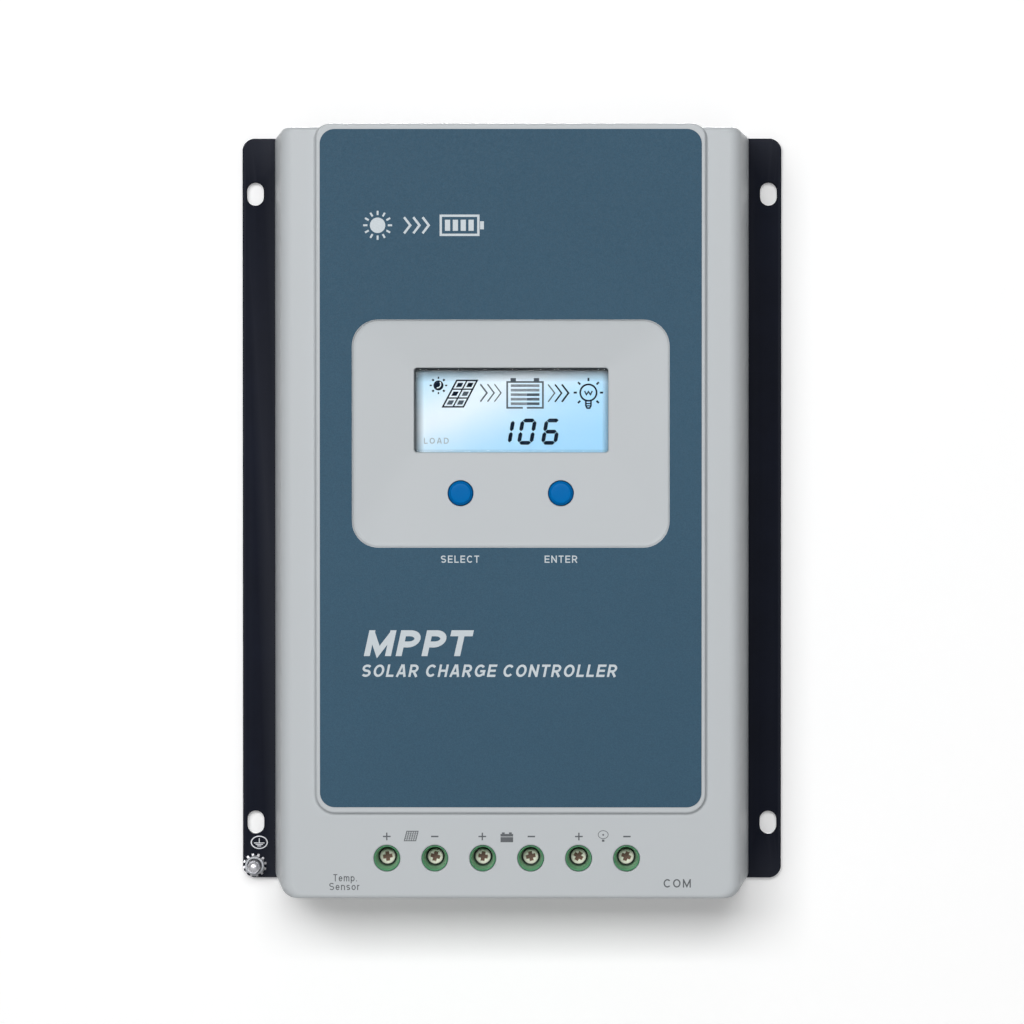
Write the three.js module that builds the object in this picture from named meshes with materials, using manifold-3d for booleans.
// Wall-mounted solar charge controller, in millimetres.
// X is the width (right as seen from the front), +Z is up, and the wall plane is Y = 0.
// The body stands out from the wall along -Y, so "height above the wall" h means Y = -h.
// The origin is the centre of the wall face.

import * as THREE from 'three';
import { mergeVertices } from 'three/addons/utils/BufferGeometryUtils.js';
import Module from 'manifold-3d';

const wasm = await Module();
wasm.setup();

// ---------------------------------------------------------------- driving dimensions

const HEIGHT = 252;             // whole controller, along Z
const WIDTH = 180;              // across the two mounting flanges
const DEPTH = 63;               // wall plane to the face of the label

const FLANGE_T = 2.5;           // mounting flange thickness
const SINK_HALF_Z = 123.5;      // half length of the extruded heat sink
const SINK_WALL_OUT = 73.6;     // outer face of the heat sink's side wall
const SINK_WALL_IN = 71.0;
const BASE_BACK = 21;           // base plate, from here ...
const BASE_FRONT = 25;          // ... to here above the wall
const FIN_TIP = 0.8;            // fin tips stay this far off the wall
const FIN_T = 1.8;
const FIN_X = [14, 22, 30, 38, 46, 54, 62];
const RIB_HALF = 6;             // wide middle rib that touches the wall
const RAIL_X = [46, 54];        // rails that carry the main board
const RAIL_TOP = 27.95;
const SLOT_X = 85.7;            // mounting slots
const SLOT_Z = 105;
const SLOT_W = 5.6;
const SLOT_L = 7.7;
const FLANGE_R = 4;

const COVER_BACK = 2.8;         // side walls of the cover stop just off the flanges
const COVER_X_BACK = 79.1;      // half width at the flanges
const COVER_X_FRONT = 75.7;     // half width where the shoulder's round begins
const COVER_H = 60.5;           // height of the shoulders and of the terminal panel
const SHOULDER_R = 4.5;
const WALL = 2.2;
const PLATFORM_X = 63.3;        // raised field that carries the label
const PLATFORM_H = 62.7;
const PLATFORM_Z0 = -98;
const END_OPEN = 21.5;          // end walls stop here, so air reaches the fins

const LABEL = { x0: -62, x1: 62, z0: -96.1, z1: 124.7, r: 4.8 };
const DISH = { x0: -51.3, x1: 51.3, z0: -11.4, z1: 62.1, r: 8.3 };
const DISH_STEP = 0.8;
const WINDOW = { x0: -31.4, x1: 31.7, z0: 19.2, z1: 46.7 };

const BUTTON_X = 16.3;
const BUTTON_Z = 6.0;
const BUTTON_R = 3.9;
const BUTTON_HOLE_R = 4.25;
const BUTTON_TOP = 62.3;

const TERM_X = [-40.3, -24.7, -9.1, 6.5, 22.1, 37.7];   // screw axes
const TERM_Z = -112.9;
const COVER_HOLE_R = 4.45;
const BLOCK_Z0 = -125.6;
const BLOCK_Z1 = -98.5;
const BLOCK_TOP = 57.8;
const HEAD_TOP = 50.6;          // terminal screw head, sunk in its bore

const BOARD_BACK = 28.0;
const BOARD_FRONT = 29.6;

const EARTH_X = -86.0;
const EARTH_Z = -119.4;

// ---------------------------------------------------------------- geometry helpers

// a closed three.js geometry as a solid, its faces pointing out
function solid( geometry ) {

	const g = geometry.index ? geometry.toNonIndexed() : geometry.clone();
	g.deleteAttribute( 'normal' );
	g.deleteAttribute( 'uv' );
	const m = mergeVertices( g, 1e-4 );
	const p = m.attributes.position.array;
	const index = m.index.array;
	const tri = [];
	let volume = 0;
	for ( let i = 0; i < index.length; i += 3 ) {

		const [ a, b, c ] = [ index[ i ], index[ i + 1 ], index[ i + 2 ] ];
		if ( a === b || b === c || c === a ) continue;
		tri.push( a, b, c );
		const A = new THREE.Vector3().fromArray( p, 3 * a );
		const B = new THREE.Vector3().fromArray( p, 3 * b );
		const C = new THREE.Vector3().fromArray( p, 3 * c );
		volume += A.dot( B.cross( C ) );

	}

	if ( volume < 0 ) for ( let i = 0; i < tri.length; i += 3 ) [ tri[ i + 1 ], tri[ i + 2 ] ] = [ tri[ i + 2 ], tri[ i + 1 ] ];
	return new wasm.Manifold( new wasm.Mesh( { numProp: 3, vertProperties: new Float32Array( p ), triVerts: new Uint32Array( tri ) } ) );

}

function shapeOf( points ) {

	return new THREE.Shape( points.map( ( [ x, y ] ) => new THREE.Vector2( x, y ) ) );

}

// outline in (x, h), run along Z
function alongZ( points, z0, z1 ) {

	const g = new THREE.ExtrudeGeometry( shapeOf( points.map( ( [ x, h ] ) => [ x, - h ] ) ), { depth: z1 - z0, bevelEnabled: false } );
	g.translate( 0, 0, z0 );
	return solid( g );

}

// shape in (x, z), standing from h0 to h1 above the wall
function standing( shape, h0, h1, curveSegments = 6 ) {

	const g = new THREE.ExtrudeGeometry( shape, { depth: h1 - h0, bevelEnabled: false, curveSegments } );
	g.rotateX( Math.PI / 2 );
	g.translate( 0, - h0, 0 );
	return solid( g );

}

// outline in (h, z), run along X
function alongX( points, x0, x1 ) {

	const g = new THREE.ExtrudeGeometry( shapeOf( points.map( ( [ h, z ] ) => [ - h, z ] ) ), { depth: x1 - x0, bevelEnabled: false } );
	// shape x -> Y, shape y -> Z, depth -> X
	g.applyMatrix4( new THREE.Matrix4().set( 0, 0, 1, x0, 1, 0, 0, 0, 0, 1, 0, 0, 0, 0, 0, 1 ) );
	return solid( g );

}

function box( x0, x1, h0, h1, z0, z1 ) {

	const g = new THREE.BoxGeometry( x1 - x0, h1 - h0, z1 - z0 );
	g.translate( ( x0 + x1 ) / 2, - ( h0 + h1 ) / 2, ( z0 + z1 ) / 2 );
	return solid( g );

}

function cylinder( x, z, r, h0, h1, segments = 16 ) {

	const g = new THREE.CylinderGeometry( r, r, h1 - h0, segments );
	g.translate( x, - ( h0 + h1 ) / 2, z );
	return solid( g );

}

// turned profile of (r, h) points about an axis square to the wall
function turned( x, z, points, segments = 16 ) {

	const g = new THREE.LatheGeometry( points.map( ( [ r, h ] ) => new THREE.Vector2( r, - h ) ), segments );
	g.translate( x, 0, z );
	return solid( g );

}

function roundedRect( x0, x1, z0, z1, r, target = new THREE.Shape() ) {

	target.moveTo( x0 + r, z0 );
	target.lineTo( x1 - r, z0 );
	target.absarc( x1 - r, z0 + r, r, - Math.PI / 2, 0, false );
	target.lineTo( x1, z1 - r );
	target.absarc( x1 - r, z1 - r, r, 0, Math.PI / 2, false );
	target.lineTo( x0 + r, z1 );
	target.absarc( x0 + r, z1 - r, r, Math.PI / 2, Math.PI, false );
	target.lineTo( x0, z0 + r );
	target.absarc( x0 + r, z0 + r, r, Math.PI, 1.5 * Math.PI, false );
	return target;

}

// obround slot, upright
function obround( x, z, w, l ) {

	const r = w / 2, s = new THREE.Shape();
	s.moveTo( x + r, z - l / 2 + r );
	s.lineTo( x + r, z + l / 2 - r );
	s.absarc( x, z + l / 2 - r, r, 0, Math.PI, false );
	s.lineTo( x - r, z - l / 2 + r );
	s.absarc( x, z - l / 2 + r, r, Math.PI, 2 * Math.PI, false );
	return s;

}

// six-sided block whose back rectangle is smaller than its front one
function hopper( front, hFront, back, hBack ) {

	const g = new THREE.BoxGeometry( 2, 2, 2 );
	const p = g.attributes.position;
	for ( let i = 0; i < p.count; i ++ ) {

		const isFront = p.getY( i ) < 0;
		const r = isFront ? front : back;
		p.setXYZ( i, p.getX( i ) < 0 ? r.x0 : r.x1, isFront ? - hFront : - hBack, p.getZ( i ) < 0 ? r.z0 : r.z1 );

	}

	return solid( g );

}

function all( ...parts ) {

	return parts.reduce( ( a, b ) => a.add( b ) );

}

const group = new THREE.Group();
group.name = 'charge_controller';

function part( name, body, color, roughness, metalness = 0, extra = {} ) {

	const m = body.getMesh();
	const stride = m.numProp;
	const positions = new Float32Array( m.vertProperties.length / stride * 3 );
	for ( let i = 0; i < positions.length / 3; i ++ ) for ( let k = 0; k < 3; k ++ ) positions[ 3 * i + k ] = m.vertProperties[ stride * i + k ];
	const geometry = new THREE.BufferGeometry();
	geometry.setAttribute( 'position', new THREE.BufferAttribute( positions, 3 ) );
	geometry.setIndex( new THREE.BufferAttribute( new Uint32Array( m.triVerts ), 1 ) );
	geometry.computeVertexNormals();
	const mesh = new THREE.Mesh( geometry, new THREE.MeshStandardMaterial( { color, roughness, metalness, ...extra } ) );
	mesh.name = name;
	group.add( mesh );
	return mesh;

}

// ---------------------------------------------------------------- heat sink with mounting flanges

{

	// right half of the extrusion's section, from the middle of the wall face round to the middle of the board side
	const half = [ [ RIB_HALF, 0 ], [ RIB_HALF, BASE_BACK ] ];
	for ( const x of FIN_X ) half.push( [ x - FIN_T / 2, BASE_BACK ], [ x - FIN_T / 2, FIN_TIP ], [ x + FIN_T / 2, FIN_TIP ], [ x + FIN_T / 2, BASE_BACK ] );
	half.push(
		[ SINK_WALL_IN, BASE_BACK ], [ SINK_WALL_IN, 0 ], [ WIDTH / 2, 0 ], [ WIDTH / 2, FLANGE_T ],
		[ SINK_WALL_OUT, FLANGE_T ], [ SINK_WALL_OUT, BASE_FRONT ],
		[ RAIL_X[ 1 ], BASE_FRONT ], [ RAIL_X[ 1 ], RAIL_TOP ], [ RAIL_X[ 0 ], RAIL_TOP ], [ RAIL_X[ 0 ], BASE_FRONT ],
	);
	const section = [ ...half, ...half.slice().reverse().map( ( [ x, h ] ) => [ - x, h ] ) ];
	let sink = alongZ( section, - SINK_HALF_Z, SINK_HALF_Z );
	sink = sink.intersect( standing( roundedRect( - WIDTH / 2, WIDTH / 2, - SINK_HALF_Z, SINK_HALF_Z, FLANGE_R ), - 1, 30 ) );
	for ( const x of [ - SLOT_X, SLOT_X ] ) for ( const z of [ - SLOT_Z, SLOT_Z ] ) sink = sink.subtract( standing( obround( x, z, SLOT_W, SLOT_L ), - 1, FLANGE_T + 1, 6 ) );
	sink = sink.subtract( cylinder( EARTH_X, EARTH_Z, 2.15, - 1, FLANGE_T + 1, 16 ) );
	for ( const x of [ - 66.5, 66.5 ] ) for ( const z of [ - 112, 112 ] ) sink = sink.subtract( cylinder( x, z, 1.75, 15, 30, 10 ) );
	for ( const x of [ - 50, 50 ] ) for ( const z of [ - 88, 108 ] ) sink = sink.subtract( cylinder( x, z, 1.6, 22.5, 30, 10 ) );
	part( 'heatsink', sink, 0x16181f, 0.42, 0.55 );

}

// earth point on the left flange
{

	part( 'earth_stud', turned( EARTH_X, EARTH_Z, [ [ 0, 0.3 ], [ 1.95, 0.3 ], [ 1.95, 13.2 ], [ 1.2, 13.9 ], [ 0, 14.1 ] ], 16 ), 0xc9c6cf, 0.25, 0.95 );

	const star = new THREE.Shape();
	const teeth = 12;
	for ( let i = 0; i < teeth; i ++ ) {

		const a = i / teeth * 2 * Math.PI;
		const step = 2 * Math.PI / teeth;
		for ( const [ r, t ] of [ [ 3.2, 0.05 ], [ 4.0, 0.2 ], [ 4.0, 0.6 ], [ 3.2, 0.75 ] ] ) {

			const x = EARTH_X + r * Math.cos( a + t * step ), z = EARTH_Z + r * Math.sin( a + t * step );
			if ( i === 0 && t === 0.05 ) star.moveTo( x, z ); else star.lineTo( x, z );

		}

	}

	star.closePath();
	part( 'earth_washer', standing( star, 2.55, 3.15 ).subtract( cylinder( EARTH_X, EARTH_Z, 2.2, 2, 4, 16 ) ), 0xb9b8bd, 0.3, 0.9 );

	const hex = new THREE.Shape();
	const R = 3.5 / Math.cos( Math.PI / 6 );
	for ( let i = 0; i < 6; i ++ ) {

		const a = Math.PI / 6 + i * Math.PI / 3 ;
		if ( i === 0 ) hex.moveTo( EARTH_X + R * Math.cos( a ), EARTH_Z + R * Math.sin( a ) ); else hex.lineTo( EARTH_X + R * Math.cos( a ), EARTH_Z + R * Math.sin( a ) );

	}

	hex.closePath();
	part( 'earth_nut', standing( hex, 3.2, 6.4 ).subtract( cylinder( EARTH_X, EARTH_Z, 2.2, 2, 8, 16 ) ), 0xc4c2ca, 0.25, 0.95 );

}

// ---------------------------------------------------------------- front cover

{

	const arc = [];
	for ( let i = 0; i <= 4; i ++ ) {

		const a = i / 4 * Math.PI / 2;
		arc.push( [ COVER_X_FRONT - SHOULDER_R + SHOULDER_R * Math.cos( a ), COVER_H - SHOULDER_R + SHOULDER_R * Math.sin( a ) ] );

	}

	const half = [ [ COVER_X_BACK, COVER_BACK ], ...arc, [ PLATFORM_X + 0.4, COVER_H ], [ PLATFORM_X, PLATFORM_H ] ];
	const outline = [ ...half, ...half.slice().reverse().map( ( [ x, h ] ) => [ - x, h ] ) ];
	let cover = alongZ( outline, - HEIGHT / 2, HEIGHT / 2 );

	// round the corners of the plan: larger at the bottom than at the top
	const plan = new THREE.Shape();
	const X = COVER_X_BACK, Z = HEIGHT / 2, RB = 6.5, RT = 2.6;
	plan.moveTo( - X + RB, - Z );
	plan.lineTo( X - RB, - Z );
	plan.absarc( X - RB, - Z + RB, RB, - Math.PI / 2, 0, false );
	plan.lineTo( X, Z - RT );
	plan.absarc( X - RT, Z - RT, RT, 0, Math.PI / 2, false );
	plan.lineTo( - X + RT, Z );
	plan.absarc( - X + RT, Z - RT, RT, Math.PI / 2, Math.PI, false );
	plan.lineTo( - X, - Z + RB );
	plan.absarc( - X + RB, - Z + RB, RB, Math.PI, 1.5 * Math.PI, false );
	cover = cover.intersect( standing( plan, 0, 70, 4 ) );

	// the raised field stops above the terminal panel
	cover = cover.subtract( box( - 70, 70, COVER_H, 64, - Z - 1, PLATFORM_Z0 ) );

	// hollow
	const inner = [ [ COVER_X_BACK - WALL, 0 ], [ COVER_X_FRONT - WALL, COVER_H - SHOULDER_R ], [ COVER_X_FRONT - SHOULDER_R, COVER_H - WALL ] ];
	cover = cover.subtract( alongZ( [ ...inner, ...inner.slice().reverse().map( ( [ x, h ] ) => [ - x, h ] ) ], - Z + WALL, Z - WALL ) );
	for ( const [ z0, z1 ] of [ [ - 95, - 15 ], [ 66, 122 ] ] ) cover = cover.subtract( box( - 60.5, 60.5, 57, PLATFORM_H - WALL, z0, z1 ) );
	cover = cover.subtract( box( - 75.4, 75.4, 0, END_OPEN, - Z - 1, Z + 1 ) );

	// shallow four-sided dish round the display, with its window
	cover = cover.subtract( standing( roundedRect( DISH.x0, DISH.x1, DISH.z0, DISH.z1, DISH.r ), PLATFORM_H - DISH_STEP, 65, 4 ) );
	cover = cover.subtract( hopper( DISH, PLATFORM_H - DISH_STEP, WINDOW, COVER_H ).intersect( standing( roundedRect( DISH.x0, DISH.x1, DISH.z0, DISH.z1, DISH.r ), 55, 65, 4 ) ) );
	cover = cover.subtract( box( WINDOW.x0, WINDOW.x1, 50, 65, WINDOW.z0, WINDOW.z1 ) );
	for ( const s of [ - 1, 1 ] ) cover = cover.subtract( cylinder( s * BUTTON_X, BUTTON_Z, BUTTON_HOLE_R, 50, 65, 20 ) );

	// screwdriver holes over the terminals
	for ( const x of TERM_X ) cover = cover.subtract( cylinder( x, TERM_Z, COVER_HOLE_R, 50, 65, 20 ) );

	// openings in the lower end wall: terminals, temperature sensor, communication
	cover = cover.subtract( box( - 48.3, 45.6, 29.7, 58.0, - Z - 1, - Z + 3 ) );
	cover = cover.subtract( box( - 59.2, - 49.4, 29.7, 40.2, - Z - 1, - Z + 3 ) );
	cover = cover.subtract( box( 46.4, 62.8, 29.7, 43.7, - Z - 1, - Z + 3 ) );

	// screw bosses inside the four corners, and posts for the display board
	for ( const x of [ - 66.5, 66.5 ] ) for ( const z of [ - 112, 112 ] ) cover = cover.add( cylinder( x, z, 3.2, 25.3, 59, 12 ) );
	for ( const x of [ - 66.5, 66.5 ] ) for ( const z of [ - 112, 112 ] ) cover = cover.subtract( cylinder( x, z, 1.75, 24, 42, 10 ) );
	for ( const x of [ - 41, 41 ] ) for ( const z of [ - 6, 54 ] ) cover = cover.add( cylinder( x, z, 1.3, 49.2, 59, 8 ) );
	part( 'front_cover', cover, 0xc3c8cb, 0.3 );

}

// label film, open round the dish
{

	const s = roundedRect( LABEL.x0, LABEL.x1, LABEL.z0, LABEL.z1, LABEL.r );
	s.holes.push( roundedRect( DISH.x0 - 0.3, DISH.x1 + 0.3, DISH.z0 - 0.3, DISH.z1 + 0.3, DISH.r + 0.3, new THREE.Path() ) );
	part( 'front_label', standing( s, PLATFORM_H + 0.02, DEPTH, 5 ), 0x3d5b70, 0.5 );

}

// ---------------------------------------------------------------- display and buttons

part( 'lcd_window', box( WINDOW.x0 + 0.3, WINDOW.x1 - 0.3, 57.2, 58.8, WINDOW.z0 + 0.3, WINDOW.z1 - 0.3 ), 0xdfeffa, 0.05, 0, { transparent: true, opacity: 0.35 } );
part( 'lcd_panel', box( - 33.5, 33.8, 54.6, 56.6, 17.3, 48.6 ), 0xaadcfa, 0.2 );
part( 'lcd_backlight', box( - 33.5, 33.8, 52.0, 54.4, 17.3, 48.6 ), 0xf2f6f8, 0.4 );
part( 'lcd_frame', box( - 36, 36.3, 51.8, 57.0, 14.8, 51.1 ).subtract( box( - 33.8, 34.1, 50, 60, 17.0, 48.9 ) ), 0xe8e8e6, 0.5 );

{

	let board = box( - 45, 45, 50.0, 51.6, - 10, 58 );
	for ( const x of [ - 41, 41 ] ) for ( const z of [ - 6, 54 ] ) board = board.subtract( cylinder( x, z, 1.65, 49, 53, 8 ) );
	part( 'display_board', board, 0x1f5a38, 0.45 );
	part( 'display_cable', alongX( [ [ 29.75, - 4 ], [ 36, - 8 ], [ 44, - 8 ], [ 49.85, - 4 ], [ 49.85, - 3.3 ], [ 43.7, - 7.3 ], [ 36.3, - 7.3 ], [ 29.75, - 3.3 ] ], - 8, 8 ), 0xd8d8d4, 0.6 );

}

for ( const [ name, s ] of [ [ 'select', - 1 ], [ 'enter', 1 ] ] ) {

	const x = s * BUTTON_X;
	part( name + '_button', turned( x, BUTTON_Z, [ [ 0, 57.0 ], [ 5.0, 57.0 ], [ 5.0, 57.9 ], [ BUTTON_R, 57.9 ], [ BUTTON_R, 61.7 ], [ BUTTON_R - 0.6, BUTTON_TOP ], [ 0, BUTTON_TOP ] ], 20 ), 0x0069be, 0.3 );
	part( name + '_switch', box( x - 3, x + 3, 51.7, 55.7, BUTTON_Z - 3, BUTTON_Z + 3 ).subtract( cylinder( x, BUTTON_Z, 1.95, 53.6, 57, 10 ) ), 0x202022, 0.5 );
	part( name + '_plunger', cylinder( x, BUTTON_Z, 1.7, 54.4, 56.95, 10 ), 0x1a1a1c, 0.5 );

}

// ---------------------------------------------------------------- main board and what stands on it

{

	let board = box( - 62.8, 62.8, BOARD_BACK, BOARD_FRONT, - 122, 121 );
	for ( const x of [ - 50, 50 ] ) for ( const z of [ - 88, 108 ] ) board = board.subtract( cylinder( x, z, 1.7, 27, 31, 10 ) );
	part( 'main_board', board, 0x1d5434, 0.45 );
	part( 'thermal_pad', box( - 32, 32, 25.05, 25.45, 20, 40 ), 0xb7bcc0, 0.8 );
	part( 'mosfet_module', box( - 30, 30, 25.55, 27.8, 22, 38 ), 0x1b1b1d, 0.5 );
	for ( const [ i, x ] of [ - 28, 28 ].entries() ) {

		part( 'inductor_' + ( i + 1 ), turned( x, 88, [ [ 9, 31.5 ], [ 11, 30.0 ], [ 19, 30.0 ], [ 21, 31.5 ], [ 21, 46 ], [ 19, 47.8 ], [ 11, 47.8 ], [ 9, 46 ], [ 9, 31.5 ] ], 20 ), 0x9c5a2c, 0.4, 0.6 );

	}

	for ( const [ i, x ] of [ - 42, - 20, 2 ].entries() ) part( 'capacitor_' + ( i + 1 ), turned( x, - 62, [ [ 0, 29.75 ], [ 8.4, 29.75 ], [ 9, 30.6 ], [ 9, 54.4 ], [ 8.2, 55.4 ], [ 0, 55.4 ] ], 16 ), 0x23262e, 0.4 );

	let n = 0;
	for ( const x of [ - 50, 50 ] ) for ( const z of [ - 88, 108 ] ) part( 'board_screw_' + ( ++ n ), turned( x, z, [ [ 0, 22.9 ], [ 1.3, 22.9 ], [ 1.3, 29.65 ], [ 2.8, 29.65 ], [ 2.8, 31.2 ], [ 2.2, 31.8 ], [ 0, 31.8 ] ], 12 ), 0xb8b8b4, 0.35, 0.9 );
	n = 0;
	for ( const x of [ - 66.5, 66.5 ] ) for ( const z of [ - 112, 112 ] ) part( 'cover_screw_' + ( ++ n ), turned( x, z, [ [ 0, 18.7 ], [ 2.3, 18.7 ], [ 2.8, 19.3 ], [ 2.8, 20.95 ], [ 1.45, 20.95 ], [ 1.45, 39.5 ], [ 0, 40.5 ] ], 12 ), 0x2a2a2d, 0.4, 0.8 );

}

// ---------------------------------------------------------------- power terminals

const CHAMBER_HALF = 6.0;       // room for the rising cage
const ENTRY_HALF = 4.7;         // wire entry
const CAGE_HALF = 5.6;
const CAGE_WALL = 1.4;
const CAGE_H0 = 31.1, CAGE_H1 = 42.1;   // cage at rest, fully open
const BAR_H0 = 38.1, BAR_H1 = 39.5;     // fixed contact bar inside the cage
const POLES = [ 'pv_plus', 'pv_minus', 'battery_plus', 'battery_minus', 'load_plus', 'load_minus' ];

for ( const [ i, name ] of [ 'pv', 'battery', 'load' ].entries() ) {

	const [ xa, xb ] = [ TERM_X[ 2 * i ], TERM_X[ 2 * i + 1 ] ];
	const mid = ( xa + xb ) / 2;
	let block = box( mid - 15.4, mid + 15.4, 29.9, BLOCK_TOP, BLOCK_Z0, BLOCK_Z1 );
	for ( const x of [ xa, xb ] ) block = block.add( cylinder( x, TERM_Z, 4.15, BLOCK_TOP - 2, 60.2, 20 ) );
	for ( const x of [ xa, xb ] ) {

		block = block.subtract( box( x - CHAMBER_HALF, x + CHAMBER_HALF, 30.9, 47.5, BLOCK_Z0 + 4.1, BLOCK_Z1 - 1.5 ) );
		block = block.subtract( box( x - ENTRY_HALF, x + ENTRY_HALF, 31.4, 39.4, BLOCK_Z0 - 1, BLOCK_Z0 + 4.2 ) );
		block = block.subtract( box( x - 3.7, x + 3.7, 29, 31.5, - 102.0, - 100.0 ) );
		block = block.subtract( cylinder( x, TERM_Z, 2.1, 47, 49, 16 ) );
		block = block.subtract( turned( x, TERM_Z, [ [ 0, 48.3 ], [ 3.05, 48.3 ], [ 3.05, 52.5 ], [ 3.8, 60.6 ], [ 0, 60.6 ] ], 16 ) );

	}

	part( name + '_terminal_block', block, 0x3f9a63, 0.45 );

}

for ( const [ i, name ] of POLES.entries() ) {

	const x = TERM_X[ i ];

	// captive screw: sunk head with a cross recess, plain shank into the cage's thread
	let screw = turned( x, TERM_Z, [ [ 0, 39.65 ], [ 1.8, 39.65 ], [ 1.8, 48.45 ], [ 2.6, 48.45 ], [ 2.6, 50.2 ], [ 2.2, HEAD_TOP ], [ 0, HEAD_TOP ] ], 16 );
	const recess = all( box( - 1.75, 1.75, 49.3, 52, - 0.45, 0.45 ), box( - 0.45, 0.45, 49.3, 52, - 1.75, 1.75 ) );
	screw = screw.subtract( recess.translate( [ x, 0, TERM_Z ] ) );
	part( name + '_screw', screw, 0xd9d5c2, 0.35, 0.8 );

	// rising cage
	let cage = box( x - CAGE_HALF, x + CAGE_HALF, CAGE_H0, CAGE_H1, TERM_Z - 6, TERM_Z + 6 );
	cage = cage.subtract( box( x - CAGE_HALF + CAGE_WALL, x + CAGE_HALF - CAGE_WALL, CAGE_H0 + CAGE_WALL, BAR_H1 + 0.2, TERM_Z - 7, TERM_Z + 7 ) );
	cage = cage.subtract( cylinder( x, TERM_Z, 2.1, 39, 43, 16 ) );
	part( name + '_cage', cage, 0xbdbdb8, 0.35, 0.9 );

	// contact bar, bent down to the board behind the cage
	part( name + '_contact', alongX( [ [ BAR_H1, - 120.8 ], [ BAR_H1, - 100.3 ], [ 29.75, - 100.3 ], [ 29.75, - 101.7 ], [ BAR_H0, - 101.7 ], [ BAR_H0, - 120.8 ] ], x - 3.4, x + 3.4 ), 0xb89a5a, 0.3, 0.9 );

}

// ---------------------------------------------------------------- signal sockets

part( 'temp_sensor_socket', box( - 58.9, - 49.7, 29.9, 39.9, - 125.6, - 112 ).subtract( box( - 57.9, - 50.7, 31.6, 38.2, - 127, - 115 ) ), 0x3f9a63, 0.45 );
part( 'temp_sensor_pins', all(
	box( - 57.3, - 51.3, 33.9, 35.9, - 115.9, - 115.1 ),
	box( - 56.6, - 55.8, 34.5, 35.3, - 121.5, - 115.5 ),
	box( - 52.8, - 52.0, 34.5, 35.3, - 121.5, - 115.5 ),
), 0xc9b26a, 0.3, 0.9 );

part( 'com_socket', box( 46.7, 62.5, 29.9, 43.4, - 125.6, - 107.8 )
	.subtract( box( 54.6 - 5.95, 54.6 + 5.95, 33.6, 40.4, - 127, - 111.5 ) )
	.subtract( box( 54.6 - 3.2, 54.6 + 3.2, 31.4, 34.0, - 127, - 113 ) ), 0x1c1c1e, 0.5 );
{

	let contacts = box( 50.0, 59.2, 39.4, 40.2, - 112.6, - 111.7 );
	for ( let i = 0; i < 8; i ++ ) {

		const x = 54.6 + ( i - 3.5 ) * 1.02;
		contacts = contacts.add( box( x - 0.22, x + 0.22, 39.5, 39.95, - 120.5, - 112.3 ) );

	}

	part( 'com_contacts', contacts, 0xcdb56a, 0.3, 0.95 );

}

export default group;
